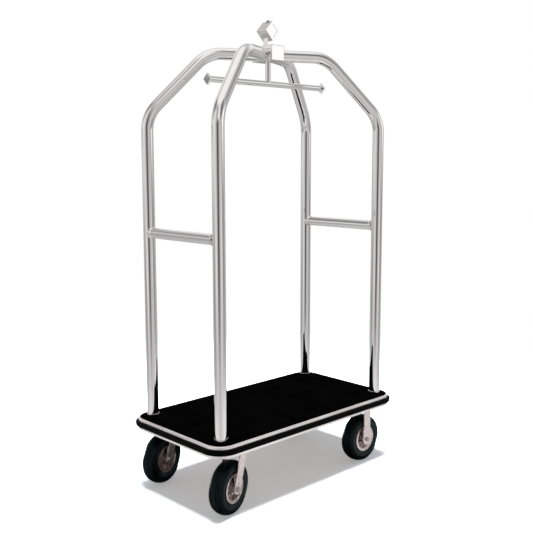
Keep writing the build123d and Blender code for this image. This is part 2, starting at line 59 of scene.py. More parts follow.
body_of = {node: body for body, nodes in frame["record"]["behaviour"]["bodies"].items() for node in nodes}
joint_of = {joint["name"]: joint for joint in frame["joints"]}

# %% [markdown]
# ## Sizes
# A piece made here has to sit where its CAD node sits, so places are read from the nodes' boxes and only
# the sizes that a box can't give, such as a bend's radius, are written down once.

# %% Driving sizes
tube_radius = 25.4 * MM
bend_radius = 150 * MM
hoop_flat_half = 272 * MM
rail_radius = 22.25 * MM
wheel_radius = 111 * MM
tyre_half_width = 33.5 * MM
tube_low, tube_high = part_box("upright_back_right")
deck_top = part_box("deck_carpet")[1].z
hoop_top = tube_high.z - tube_radius
post_x = tube_high.x - tube_radius
post_y = tube_high.y - tube_radius
hub_low, hub_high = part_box("hub_block")
print("deck", round(deck_top, 4), "hoop", round(hoop_top, 4), "posts", round(post_x, 4), round(post_y, 4))

# %% [markdown]
# ## Surfaces from numbers
# Every bright piece of the cart is a bent tube, a turned ring or a pressed plate. Tubes and rings could
# be curves with a bevel, but a surface worked out with numpy gives even quads along every bend, which a
# mirror finish needs, because it shows each facet. Plates keep their CAD shape, and get soft edges.

# %% Mesh from a grid of points
def surface(name, grid):
    """A mesh from a grid of points: each point joins the next one along both directions of the grid.
    Rows that repeat a point close a pole, and a last row or column that repeats the first closes a seam,
    because points in one place are merged."""
    rows, columns = grid.shape[:2]
    index = np.arange(rows * columns).reshape(rows, columns)
    quads = np.stack([index[:-1, :-1], index[1:, :-1], index[1:, 1:], index[:-1, 1:]], -1).reshape(-1, 4)
    mesh = bpy.data.meshes.new(name)
    mesh.from_pydata(grid.reshape(-1, 3).tolist(), [], quads.tolist())
    return cleaned(name, mesh)


def cleaned(name, mesh, smooth_angle=35):
    """An object from a mesh, with points in one place merged, normals outward and soft shading up to an
    angle between faces."""
    work = bmesh.new()
    work.from_mesh(mesh)
    bmesh.ops.remove_doubles(work, verts=work.verts, dist=2e-6)
    bmesh.ops.dissolve_degenerate(work, edges=work.edges, dist=1e-7)
    bmesh.ops.recalc_face_normals(work, faces=work.faces)
    work.to_mesh(mesh)
    work.free()
    mesh.shade_smooth()
    mesh.set_sharp_from_angle(angle=math.radians(smooth_angle))
    piece = bpy.data.objects.new(name, mesh)
    bpy.context.scene.collection.objects.link(piece)
    return piece


# %% Rounded outlines
def rounded(points, radius, steps=6, closed=False):
    """An outline with its corners turned into arcs: each arc leaves its two sides at equal distances from
    the corner and follows the circle of that radius that touches both."""
    points = [np.array(p, float) for p in points]
    radii = radius if isinstance(radius, (list, tuple)) else [radius] * len(points)
    out = []
    for i, corner in enumerate(points):
        if not closed and i in (0, len(points) - 1):
            out.append(corner[None])
            continue
        before = points[i - 1] - corner
        after = points[(i + 1) % len(points)] - corner
        room = min(np.linalg.norm(before), np.linalg.norm(after)) * 0.49
        before = before / np.linalg.norm(before)
        after = after / np.linalg.norm(after)
        half = math.acos(np.clip(before @ after, -1, 1)) / 2
        if radii[i] == 0 or abs(half - math.pi / 2) < 1e-4:
            out.append(corner[None])
            continue
        reach = min(radii[i] / math.tan(half), room)
        size = reach * math.tan(half)
        middle = corner + (before + after) / np.linalg.norm(before + after) * (size / math.sin(half))
        first = corner + before * reach - middle
        last = corner + after * reach - middle
        sweep = math.pi - 2 * half
        t = np.linspace(0, 1, steps + 1)[:, None]
        out.append(middle + (np.sin((1 - t) * sweep) * first + np.sin(t * sweep) * last) / math.sin(sweep))
    return np.concatenate(out)


# %% Turned pieces and tubes
def turned(name, profile, origin, axis=(0, 0, 1), segments=96):
    """A profile of (radius, distance along the axis) points, turned once round the axis."""
    axis = np.array(axis, float) / np.linalg.norm(axis)
    side = np.cross(axis, [0, 0, 1.0] if abs(axis[2]) < 0.9 else [1.0, 0, 0])
    side = side / np.linalg.norm(side)
    other = np.cross(axis, side)
    profile = np.array(profile, float)
    angle = np.linspace(0, 2 * np.pi, segments + 1)
    spoke = np.cos(angle)[:, None] * side + np.sin(angle)[:, None] * other
    grid = np.array(origin, float) + profile[:, None, 1:] * axis + profile[:, None, :1] * spoke[None]
    grid[:, -1] = grid[:, 0]
    return surface(name, grid)


def tube(name, path, across, radius, segments=64):
    """A round tube along a flat path. Across is the normal of the path's plane, and each ring lies on that
    normal and on the path's own normal, so the tube never twists. Its ends are closed."""
    path = np.array(path, float)
    across = np.array(across, float) / np.linalg.norm(across)
    along = np.gradient(path, axis=0)
    along = along / np.linalg.norm(along, axis=1)[:, None]
    up = np.cross(across, along)
    angle = np.linspace(0, 2 * np.pi, segments + 1)
    rings = np.cos(angle)[None, :, None] * up[:, None] + np.sin(angle)[None, :, None] * across
    grid = path[:, None] + radius * rings
    grid[:, -1] = grid[:, 0]
    start = np.repeat(path[:1, None], segments + 1, 1)
    end = np.repeat(path[-1:, None], segments + 1, 1)
    return surface(name, np.concatenate([start, grid, end]))


def spaced(points, step):
    """The same line with points no further apart than a step, so that long runs get their own rings."""
    points = np.array(points, float)
    out = []
    for a, b in zip(points[:-1], points[1:]):
        count = max(1, int(np.linalg.norm(b - a) / step))
        out.append(a + (b - a) * np.arange(count)[:, None] / count)
    return np.concatenate(out + [points[-1:]])


# %% Soft-edged copies of CAD plates
def softened(node, edge=0.6 * MM, segments=2, smooth_angle=35):
    """A copy of a CAD node with its loose triangles joined and its sharp edges bevelled, because a plated
    edge always catches a thin line of light. Weighted normals keep its large faces flat in a mirror
    finish. The copy stands for the node."""
    mesh = frame["nodes"][node].data.copy()
    piece = cleaned(node + ".soft", mesh, smooth_angle)
    bevel = piece.modifiers.new("soft edge", "BEVEL")
    bevel.width = edge
    bevel.segments = segments
    bevel.limit_method = "ANGLE"
    bevel.angle_limit = math.radians(smooth_angle)
    flat = piece.modifiers.new("flat faces", "WEIGHTED_NORMAL")
    flat.weight = 100
    flat.keep_sharp = True
    return dress(piece, node)


def dress(piece, *nodes):
    """Ties a piece to the CAD nodes that it stands for: it takes their body, slot and finish."""
    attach(piece, body_of[nodes[0]])
    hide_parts(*nodes)
    finish(piece, slot_of[nodes[0]])
    return piece


def finish(piece, slot):
    """Gives a piece the finish of a material slot."""
    piece.data.materials.clear()
    piece.data.materials.append(finishes[slot])
    return piece


# %% [markdown]
# ## Finishes
# Each finish starts from what the real one is. A node's colour is given as the sRGB hex value that a
# maker's swatch would have, and turned to linear light, which is what Cycles works in. One helper adds a
# node with its settings and links, so each material below reads as a short recipe of Principled inputs.

# %% Colour and node helpers
def linear(hex_colour):
    """sRGB hex to linear red, green, blue and alpha, by the sRGB curve."""
    value = np.array([int(hex_colour[i : i + 2], 16) for i in (1, 3, 5)]) / 255
    curve = np.where(value <= 0.04045, value / 12.92, ((value + 0.055) / 1.055) ** 2.4)
    return (*curve.tolist(), 1.0)


def add(tree, kind, settings=None, out=0, **inputs):
    """Adds a node and gives back one of its outputs, or all of them where out is None. Settings are its own
    properties, and stops are a ramp's (place, sRGB hex) pairs. Inputs are its sockets by name, with _ for a
    space, or by i and their number: a value is set on the socket, and another node's output is linked."""
    node = tree.nodes.new("ShaderNode" + kind)
    settings = dict(settings or {})
    stops = settings.pop("stops", [])
    while stops and len(node.color_ramp.elements) < len(stops):
        node.color_ramp.elements.new(0.5)
    for spot, (place, colour) in enumerate(stops):
        node.color_ramp.elements[spot].position = place
        node.color_ramp.elements[spot].color = linear(colour)
    for key, value in settings.items():
        setattr(node, key, value)
    for key, value in inputs.items():
        name = int(key[1:]) if key[0] == "i" and key[1:].isdigit() else key.replace("_", " ")
        if isinstance(value, bpy.types.NodeSocket):
            tree.links.new(value, node.inputs[name])
        else:
            node.inputs[name].default_value = value
    return node.outputs if out is None or not node.outputs else node.outputs[out]


def material(name, recipe):
    """A material with one Principled shader. Its recipe gives that shader's inputs by name."""
    made = bpy.data.materials.new(name)
    made.use_nodes = True
    tree = made.node_tree
    tree.nodes.clear()
    place = add(tree, "TexCoord", out="Object")
    add(tree, "OutputMaterial", Surface=add(tree, "BsdfPrincipled", **recipe(tree, place)))
    return made


# %% [markdown]
# ### Polished stainless tube
# The hoops are 304 stainless, ground and then buffed along the tube. A buffed tube is a mirror with a
# little haze: its roughness wanders with finger marks and polishing compound, and very shallow lines run
# along it. Its own colour is a light grey, a little warm.

# %% Polished stainless
def polished_stainless(tree, place):
    """Mirror with haze in soft patches 60 mm across. The buffing lines are drawn 1.2 mm apart and 30 times
    as long, because real ones are too fine to show."""
    haze = add(tree, "TexNoise", Vector=place, Scale=1 / (60 * MM), Detail=4)
    upright = add(tree, "Mapping", Vector=place, Scale=(1, 1, 1 / 30))
    lines = add(tree, "TexNoise", Vector=upright, Scale=1 / (1.2 * MM), Detail=2)
    return {
        "Base_Color": linear("#ece9e9"),
        "Metallic": 1.0,
        "Roughness": add(tree, "MapRange", Value=haze, From_Min=0.35, From_Max=0.7, To_Min=0.03, To_Max=0.09),
        "Normal": add(tree, "Bump", Height=lines, Distance=0.004 * MM, Strength=1.0),
    }


# %% [markdown]
# ### Satin stainless edge
# The band and lip round the deck are brushed along their length, so they spread each highlight into a
# soft, nearly white glow instead of a sharp streak.

# %% Satin stainless
def satin_stainless(tree, place):
    """Brushed lines 0.5 mm apart that run level, with a slow change of tone every 200 mm."""
    level = add(tree, "Mapping", Vector=place, Scale=(1 / 60, 1 / 60, 1))
    lines = add(tree, "TexNoise", Vector=level, Scale=1 / (0.5 * MM), Detail=2)
    tone = add(tree, "TexNoise", Vector=place, Scale=1 / (200 * MM), Detail=2)
    return {
        "Base_Color": add(tree, "ValToRGB", {"stops": [(0.3, "#eae2e0"), (0.7, "#fcf6f4")]}, Fac=tone),
        "Metallic": 1.0,
        "Roughness": add(tree, "MapRange", Value=lines, To_Min=0.24, To_Max=0.4),
        "Normal": add(tree, "Bump", Height=lines, Distance=0.006 * MM, Strength=0.5),
    }


# %% [markdown]
# ### Zinc plate on pressed steel
# The forks and top plates are pressed from 5 mm strip and bright zinc plated. The plate is even but not
# flat: it follows the strip's rolled grain, and has a faint mottle where the bath ran off.

# %% Zinc plate
mid_range = {"From_Min": 0.3, "From_Max": 0.7}


def zinc_plate(tree, place):
    """Pale grey-pink plate with a 6 mm mottle, and rolled grain 0.7 mm across."""
    mottle = add(tree, "TexNoise", Vector=place, Scale=1 / (6 * MM), Detail=5)
    grain = add(tree, "TexNoise", Vector=place, Scale=1 / (0.7 * MM), Detail=3)
    return {
        "Base_Color": add(tree, "ValToRGB", {"stops": [(0.3, "#dccfce"), (0.7, "#f3e8e6")]}, Fac=mottle),
        "Metallic": 1.0,
        "Roughness": add(tree, "MapRange", Value=mottle, **mid_range, To_Min=0.24, To_Max=0.34),
        "Normal": add(tree, "Bump", Height=grain, Distance=0.008 * MM, Strength=0.5),
    }


def plated_rim(tree, place):
    """Bright plated rim, smoother than the forks, with a 9 mm mottle that dulls it in patches."""
    mottle = add(tree, "TexNoise", Vector=place, Scale=1 / (9 * MM), Detail=4)
    return {
        "Base_Color": add(tree, "ValToRGB", {"stops": [(0.35, "#d6cac7"), (0.65, "#f1e8e5")]}, Fac=mottle),
        "Metallic": 1.0,
        "Roughness": add(tree, "MapRange", Value=mottle, **mid_range, To_Min=0.14, To_Max=0.28),
        "Normal": add(tree, "Bump", Height=mottle, Distance=0.02 * MM, Strength=0.3),
    }


def zinc_fastener(tree, place):
    """Bolts, nuts, pins and sleeves: duller zinc, with machining marks drawn 0.6 mm apart to show."""
    upright = add(tree, "Mapping", Vector=place, Scale=(1, 1, 1 / 4))
    marks = add(tree, "TexNoise", Vector=upright, Scale=1 / (0.6 * MM), Detail=2)
    return {
        "Base_Color": linear("#b9b4b0"),
        "Metallic": 1.0,
        "Roughness": add(tree, "MapRange", Value=marks, To_Min=0.25, To_Max=0.42),
        "Normal": add(tree, "Bump", Height=marks, Distance=0.01 * MM, Strength=0.6),
    }


# %% [markdown]
# ### Rubber
# The tyres and the bumper are carbon-black rubber. Moulded rubber is almost black, with a soft broad
# sheen and a fine pebble from the mould, and the tyres carry a cold, slightly blue-green bloom.

# %% Rubber
def tyre_rubber(tree, place):
    """Black rubber with a 0.8 mm pebble and a dull bloom in patches 30 mm across."""
    bloom = add(tree, "TexNoise", Vector=place, Scale=1 / (30 * MM), Detail=4)
    pebble = add(tree, "TexNoise", Vector=place, Scale=1 / (0.8 * MM), Detail=3)
    return {
        "Base_Color": add(tree, "ValToRGB", {"stops": [(0.3, "#010202"), (0.75, "#030607")]}, Fac=bloom),
        "Roughness": add(tree, "MapRange", Value=bloom, To_Min=0.32, To_Max=0.5),
        "Specular_IOR_Level": 0.3,
        "Specular_Tint": linear("#c8f2ff"),
        "Normal": add(tree, "Bump", Height=pebble, Distance=0.12 * MM, Strength=0.5),
    }


def bumper_rubber(tree, place):
    """Extruded black rubber: draw lines 0.9 mm apart that run level, and scuffs 25 mm across."""
    level = add(tree, "Mapping", Vector=place, Scale=(1 / 40, 1 / 40, 1))
    draw = add(tree, "TexNoise", Vector=level, Scale=1 / (0.9 * MM), Detail=2)
    scuff = add(tree, "TexNoise", Vector=place, Scale=1 / (25 * MM), Detail=5)
    return {
        "Base_Color": add(tree, "ValToRGB", {"stops": [(0.4, "#000000"), (0.8, "#030303")]}, Fac=scuff),
        "Roughness": add(tree, "MapRange", Value=scuff, To_Min=0.45, To_Max=0.65),
        "Specular_IOR_Level": 0.04,
        "Normal": add(tree, "Bump", Height=draw, Distance=0.05 * MM, Strength=0.6),
    }


# %% [markdown]
# ### Carpet, paint and plywood
# The carpet is a dense black cut pile, which swallows light: its tufts are too fine to see from here, so
# they are drawn 2 mm across instead of 0.8. The frame below is black powder coat, with its orange peel,
# and the board is plywood with its grain along the cart.

# %% Carpet, paint and plywood
def cut_pile(tree, place):
    """Black pile: tufts 2 mm across, shade that drifts with the lie of the pile, and a faint sheen."""
    tufts = add(tree, "TexVoronoi", Vector=place, Scale=1 / (2 * MM))
    lie = add(tree, "TexNoise", Vector=place, Scale=1 / (90 * MM), Detail=3)
    return {
        "Base_Color": add(tree, "ValToRGB", {"stops": [(0.3, "#000000"), (0.75, "#020202")]}, Fac=lie),
        "Roughness": 0.95,
        "Specular_IOR_Level": 0.0,
        "Sheen_Weight": 0.004,
        "Sheen_Roughness": 0.5,
        "Normal": add(tree, "Bump", Height=tufts, Distance=0.9 * MM, Strength=0.8),
    }


def powder_coat(tree, place):
    """Black powder coat: orange peel 1.5 mm across, under dust in patches 40 mm across."""
    peel = add(tree, "TexNoise", Vector=place, Scale=1 / (1.5 * MM), Detail=2)
    dust = add(tree, "TexNoise", Vector=place, Scale=1 / (40 * MM), Detail=4)
    return {
        "Base_Color": add(tree, "ValToRGB", {"stops": [(0.4, "#101011"), (0.8, "#1d1d1e")]}, Fac=dust),
        "Roughness": add(tree, "MapRange", Value=dust, To_Min=0.35, To_Max=0.55),
        "Normal": add(tree, "Bump", Height=peel, Distance=0.06 * MM, Strength=0.7),
    }


def plywood(tree, place):
    """Birch face veneer: grain lines 3 mm apart, 40 times longer than wide along the cart."""
    lengthwise = add(tree, "Mapping", Vector=place, Scale=(1 / 40, 1, 1))
    grain = add(tree, "TexNoise", Vector=lengthwise, Scale=1 / (3 * MM), Detail=6)
    birch = [(0.3, "#a9804f"), (0.55, "#c29a66"), (0.75, "#d6b482")]
    return {
        "Base_Color": add(tree, "ValToRGB", {"stops": birch}, Fac=grain),
        "Roughness": 0.62,
        "Normal": add(tree, "Bump", Height=grain, Distance=0.1 * MM, Strength=0.5),
    }


finishes = {
    "tube_steel": material("polished_stainless", polished_stainless),
    "edge_steel": material("satin_stainless", satin_stainless),
    "caster_steel": material("bright_zinc_plate", zinc_plate),
    "rim_steel": material("plated_pressed_rim", plated_rim),
    "fastener_steel": material("zinc_fastener", zinc_fastener),
    "frame_steel": material("black_powder_coat", powder_coat),
    "carpet": material("black_cut_pile", cut_pile),
    "plywood": material("birch_plywood", plywood),
    "bumper_rubber": material("extruded_rubber", bumper_rubber),
    "tyre_rubber": material("moulded_tyre_rubber", tyre_rubber),
}
for node, slot in slot_of.items():
    finish(frame["nodes"][node], slot)
print("finishes", len(finishes))

# %% [markdown]
# ## The hoops
# Each upright is one tube, bent twice: up from the deck, in at 45 degrees, and level to the hub. The four
# meet in the hub block, so here each simply runs on into the block, where its end is out of sight.

# %% Uprights
def upright_path(sx, sy):
    """Foot, shoulder, upper bend and hub, all in the upright plane on the deck's diagonal."""
    reach = math.hypot(post_x, post_y)
    shoulder_z = hoop_top - (reach - hoop_flat_half)
    inside_hub = hub_high.x * 0.6
    corners = [(reach, tube_low.z), (reach, shoulder_z), (hoop_flat_half, hoop_top), (inside_hub, hoop_top)]
    line = spaced(rounded(corners, bend_radius, steps=24), 60 * MM)
    direction = np.array([sx * post_x, sy * post_y, 0]) / reach
    return line[:, :1] * direction + line[:, 1:] * np.array([0, 0, 1.0]), np.cross(direction, [0, 0, 1])


posts = {"front_left": (-1, -1), "front_right": (1, -1), "back_left": (-1, 1), "back_right": (1, 1)}
for name, (sx, sy) in posts.items():
    path, across = upright_path(sx, sy)
    dress(tube("upright_" + name + ".tube", path, across, tube_radius, 96), "upright_" + name)
print("uprights", len(posts), "points along each", len(path))

# %% [markdown]
# ## Rails, collars and saddles
# A rail is a straight tube whose ends are cut to fit round its posts, each inside a flared saddle, and a
# collar hides the hole in the carpet. Collars and saddles are turned: a profile with soft corners, carried
# round an axis. The rails here are plain tubes that run on into the posts, where their ends are hidden.

# %% Rails, collars and saddles
rail_low, rail_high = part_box("end_rail_left")
rail_z = (rail_low.z + rail_high.z) / 2
collar_low, collar_high = (corner.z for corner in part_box("post_collars"))
saddle_radius = (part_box("rail_saddles")[1].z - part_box("rail_saddles")[0].z) / 2
for end, sx in (("left", -1), ("right", 1)):
    ends = [(sx * post_x, -post_y, rail_z), (sx * post_x, post_y, rail_z)]
    dress(tube("end_rail_" + end + ".tube", spaced(ends, 60 * MM), (0, 0, 1), rail_radius), "end_rail_" + end)


def joined(name, parts):
    """Several pieces made one object, so that they can stand for one CAD node."""
    with bpy.context.temp_override(active_object=parts[0], selected_editable_objects=parts):
        bpy.ops.object.join()
    parts[0].name = name
    return parts[0]


collar_rim = 1.2 * MM
collar_groove = 12 * MM
rim_round = 0.15 * MM


def collar(sx, sy):
    """Plain cover ring: a straight wall off the board, and a rim that falls in towards the tube."""
    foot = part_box("post_collars")[1].x - post_x
    corners = [
        (tube_radius, collar_low),
        (foot, collar_low),
        (foot, collar_high - collar_rim),
        (foot, collar_high),
        (tube_radius, collar_high - collar_groove),
    ]
    return turned("collar", rounded(corners, [0, 0, 0, rim_round, 0]), (sx * post_x, sy * post_y, 0))


saddle_reach = 12 * MM
saddle_lip = 0.8 * MM
saddle_shoulder = 2 * MM


def saddle(sx, sy):
    """Flared saddle from the post's round out along the rail: its own radius for two thirds of the way, then
    a cone down to the rail."""
    start = post_y - tube_radius * 0.8
    end = post_y - tube_radius - saddle_reach
    corners = [
        (rail_radius, start),
        (saddle_radius, start),
        (saddle_radius, (start + 2 * end) / 3 + saddle_shoulder),
        (rail_radius + saddle_lip, end),
        (rail_radius, end),
    ]
    profile = [(r, sy * y) for r, y in rounded(corners, [0, 0, 5 * MM, 0.5 * MM, 0])]
    return turned("saddle", profile, (sx * post_x, 0, rail_z), (0, 1, 0))


dress(joined("post_collars.turned", [collar(*signs) for signs in posts.values()]), "post_collars")
dress(joined("rail_saddles.turned", [saddle(*signs) for signs in posts.values()]), "rail_saddles")
print("rails at", round(rail_z, 4), "collars", len(posts), "saddles", len(posts))

# %% [markdown]
# ## Hub, finial and hanger
# The hub and the finial are blocks with crisp but not sharp edges, and the hanger is a bar on a drop tube.
# The blocks are softened copies of their CAD shapes, and the bar and drop tube are tubes like the hoops.

# %% Hub, finial and hanger
softened("hub_block", 2.2 * MM, 3)
softened("finial_cube", 0.8 * MM, 2)
softened("finial_neck", 0.8 * MM, 2)
softened("finial_nut", 0.3 * MM, 2)
for end in ("left", "right"):
    softened("hanger_cap_" + end, 0.9 * MM, 3)
bar_low, bar_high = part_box("hanger_bar")
bar_radius = (bar_high.z - bar_low.z) / 2
bar_z = (bar_high.z + bar_low.z) / 2
drop_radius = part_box("hanger_drop_tube")[1].x
bar_line = spaced([(bar_low.x, 0, bar_z), (bar_high.x, 0, bar_z)], 50 * MM)
dress(tube("hanger_bar.tube", bar_line, (0, 0, 1), bar_radius), "hanger_bar")
drop_line = spaced([(0, 0, bar_z), (0, 0, hub_low.z)], 30 * MM)
dress(tube("hanger_drop_tube.tube", drop_line, (1, 0, 0), drop_radius), "hanger_drop_tube")
print("hanger bar at", round(bar_z, 4), "radius", round(bar_radius, 4))

# %% [markdown]
# ## Tyres
# The tyre is a 2.80/2.50-4 knobbly. Each half of its outline is two arcs, and its tread is that outline
# pushed in wherever a groove runs: 72 slots lean across the tread and run straight over each shoulder, and
# three grooves run round the middle. The slots could be cut with booleans, but a depth worked out from
# angle and width gives soft moulded walls.

# %% Tyre surface
# Spans that a shape fades in or out over are pairs: of width for the lugs' start and lean, else of radius.
lug_count = 72
groove_depth = 6 * MM
flange_radius = 61.5 * MM
bead_radius = 51.5 * MM
bead_half_width = 24.45 * MM
crown_drop = 7.5 * MM
shoulder_half_width = 27 * MM
slant_width = 17 * MM
slant_pitch = 5 * MM
ring_places = (0, 8 * MM)
ring_width = 1.3 * MM
rib_depth = 0.35 * MM
rib_pitch = 1.1 * MM
points_per_lug = 8
lug_start = (8 * MM, 10 * MM)
lug_lean = (20 * MM, 34 * MM)
lug_foot = (87 * MM, 92 * MM)
tread_foot = (90 * MM, 97 * MM)
rib_foot = (64 * MM, 67 * MM)
rib_top = (84 * MM, 88 * MM)


def smooth_step(x, low, high):
    """0 below low, 1 above high, and an even S between them."""
    t = np.clip((x - low) / (high - low), 0, 1)
    return t * t * (3 - 2 * t)


def arc_through(a, b, c, count):
    """Points along the circle through three points, from the first to the last."""
    a, b, c = (np.array(p, float) for p in (a, b, c))
    m = 2 * np.array([b - a, c - a])
    middle = np.linalg.solve(m, [b @ b - a @ a, c @ c - a @ a])
    angles = np.unwrap([math.atan2(*(p - middle)[::-1]) for p in (a, b, c)])
    t = np.linspace(angles[0], angles[2], count)
    return middle + np.linalg.norm(a - middle) * np.stack([np.cos(t), np.sin(t)], 1)


def tyre_outline():
    """Half outline from the middle of the tread to the bead and in under it, as (radius, width)."""
    shoulder = (wheel_radius - crown_drop, shoulder_half_width)
    bulge = ((flange_radius + wheel_radius) / 2 - 3 * MM, tyre_half_width - 0.3 * MM)
    upper = (wheel_radius - crown_drop * 0.26, shoulder_half_width * 0.52)
    crown = arc_through((wheel_radius, 0), upper, shoulder, 26)
    wall = arc_through(shoulder, bulge, (flange_radius, bead_half_width), 34)
    inner = np.array([(bead_radius, bead_half_width), (bead_radius, bead_half_width * 0.6)])
    return np.concatenate([crown, wall[1:], inner])


def tyre(name, middle, axle):
    """The outline turned round the axle and pushed in by its grooves. A slot is open where
    sin(lugs * angle + out / pitch) is high, a ring where the distance from its place is small, and the depth
    comes off the radius on the tread and off the width down the shoulder. Ribs on the wall are a sine of
    the radius."""
    half = tyre_outline()
    outline = np.concatenate([half[::-1] * [1, -1], half[1:]])
    angle = np.linspace(0, 2 * np.pi, lug_count * points_per_lug + 1)
    radius, width = outline[:, None, 0], outline[:, None, 1]
    out = np.abs(width)
    wave = np.sin(lug_count * angle[None, :] + np.minimum(out, slant_width) / slant_pitch)
    slot = smooth_step(wave, -0.25, 0.25)
    on_lug = smooth_step(out, *lug_start) * smooth_step(radius, *lug_foot)
    rings = sum(np.exp(-1.5 * ((out - place) / ring_width) ** 2) for place in ring_places)
    tread = smooth_step(radius, *tread_foot)
    on_wall = smooth_step(radius, *rib_foot) * (1 - smooth_step(radius, *rib_top))
    ribs = np.clip(rib_depth * np.sin(radius / rib_pitch) * on_wall, -1, 0)
    depth = groove_depth * np.clip(slot * on_lug + np.clip(rings, 0, 1) * tread, 0, 1)
    lean = smooth_step(out, *lug_lean)
    new_radius = radius - depth * (1 - lean * 0.3)
    new_width = width - np.sign(width) * (depth * lean * 0.7 - ribs)
    axle = np.array(axle, float)
    up = np.array([0, 0, 1.0])
    spoke = np.cos(angle)[:, None] * np.cross(axle, up) + np.sin(angle)[:, None] * up
    grid = np.array(middle) + new_width[..., None] * axle + new_radius[..., None] * spoke[None]
    grid[:, -1] = grid[:, 0]
    return surface(name, np.concatenate([grid, grid[:1]]))


for corner in posts:
    joint = joint_of[corner + "_wheel_spin"]
    made = tyre(corner + "_tyre.knobbly", joint["pos_m"], joint["axis"])
    dress(made, corner + "_tyre")
print("tyre points", len(made.data.vertices))

# %% [markdown]
# ## Casters
# Rims, forks, plates and fasteners keep their CAD shapes as softened copies, so that every pressed edge
# and bolt corner catches the light. The deck's frame and bumper are softened in the same way.

# %% Casters
for corner in posts:
    softened(corner + "_rim", 0.7 * MM, 2, 30)
    softened(corner + "_fork", 0.9 * MM, 3)
    softened(corner + "_axle", 0.5 * MM, 2)
    if corner.endswith("left"):
        softened(corner + "_top_plate", 0.6 * MM, 2)
        softened(corner + "_king_pin", 0.4 * MM, 2)
softened("caster_bolts", 0.4 * MM, 1)
softened("post_bolts", 0.5 * MM, 1)
softened("edge_frame", 0.5 * MM, 2, 30)
softened("edge_bumper", 0.5 * MM, 2, 30)

# %% [markdown]
# ## Carpet
# The carpet is one sheet of cut pile with its edge tucked against the band and a hole round each collar. It
# is drawn as rings from the middle out, and its top rises and falls a little, as pile does. The holes are
# cut with a boolean, because they don't follow the rings.

# %% Carpet
carpet_low, carpet_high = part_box("deck_carpet")
carpet_corner = 72 * MM


def deck_outline(half_x, half_y, radius, steps=14):
    """A rectangle with round corners, as points in order and closed on the first."""
    corners = [(half_x, -half_y), (half_x, half_y), (-half_x, half_y), (-half_x, -half_y)]
    line = rounded(corners, radius, steps, closed=True)
    return spaced(np.concatenate([line, line[:1]]), 12 * MM)


carpet_rings = 60
ring_bias = 0.8
pile_drop = 0.65
edge_roll = 1.6 * MM


def carpet():
    """Rings from the middle to the edge, rolled over the edge and closed below. Height is the pile's top
    plus three waves, each under half a millimetre. Their numbers are radians per metre, for waves about 100,
    30 and 7 mm long, and the last is finer than the rings, so it shows as unevenness and not as a wave."""
    outline = deck_outline(carpet_high.x, carpet_high.y, carpet_corner)
    share = np.linspace(0, 1, carpet_rings) ** ring_bias
    top = outline[None] * share[:, None, None]
    x, y = top[..., 0], top[..., 1]
    wave = 0.25 * np.sin(x * 61) * np.cos(y * 47) + 0.2 * np.sin(x * 173 + y * 131)
    fine = 0.2 * np.sin(x * 911) * np.sin(y * 877)
    fall = smooth_step(share, 0.975, 1.0)[:, None] * edge_roll
    z = carpet_high.z + (wave + fine - pile_drop) * MM - fall
    skin = np.concatenate([top, z[..., None]], -1)
    side = np.concatenate([outline, np.full((len(outline), 1), carpet_low.z)], 1)
    under = np.repeat(np.array([[[0, 0, carpet_low.z]]]), len(outline), 1)
    return surface("deck_carpet.pile", np.concatenate([skin, side[None], under]))


def cut(piece, cutter):
    """The piece without the cutter's volume, worked out once so that no live modifier is left."""
    holes = piece.modifiers.new("holes", "BOOLEAN")
    holes.object = cutter
    result = bpy.data.meshes.new_from_object(piece.evaluated_get(bpy.context.evaluated_depsgraph_get()))
    piece.modifiers.clear()
    piece.data = result
    bpy.data.objects.remove(cutter)
    return piece


hole_slip = 0.3 * MM
drill_low, drill_high = carpet_low.z - MM, 0.4
hole_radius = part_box("post_collars")[1].x - post_x + hole_slip
drill = [(0, drill_low), (hole_radius, drill_low), (hole_radius, drill_high), (0, drill_high)]
spots = [(sx * post_x, sy * post_y, 0) for sx, sy in posts.values()]
drills = joined("drills", [turned("drill", drill, spot) for spot in spots])
pile = dress(cut(carpet(), drills), "deck_carpet")

# %% [markdown]
# ## Studio
# The cart stands on a plain pale floor in a white studio. A mirror finish is only as good as what it
# reflects, so the world is a light tent with soft grey panels in it: the camera sees plain white, and the
# metal sees the panels as long streaks. The floor is white to the camera, with a glow that keeps its shadow
# a light grey, and a little blue to cancel the brown light that the board throws down. The metal mirrors
# it in greys with painted light: lighter and darker tones round the room stand in for uneven light on the
# floor. It fades out before its edge.

# %% Floor
camera_turn = 0.8081


def room_turn(tree, vector):
    """Azimuth of a direction in degrees, from the side of the room that the camera stands on: atan2(y, x),
    after a turn about Z that brings that side to zero."""
    facing = add(tree, "Mapping", Vector=vector, Rotation=(0, 0, -camera_turn - math.pi))
    across = add(tree, "SeparateXYZ", out=None, Vector=facing)
    turn = add(tree, "Math", {"operation": "ARCTAN2"}, i0=across["Y"], i1=across["X"])
    return add(tree, "Math", {"operation": "DEGREES"}, i0=turn)


floor_radius = 3.0
floor_drop = 0.2 * MM
fade_start, fade_end = 1.5, 2.9
floor_glow = 0.31
floor_tint = (1.22, 1.3, 1.44, 1)
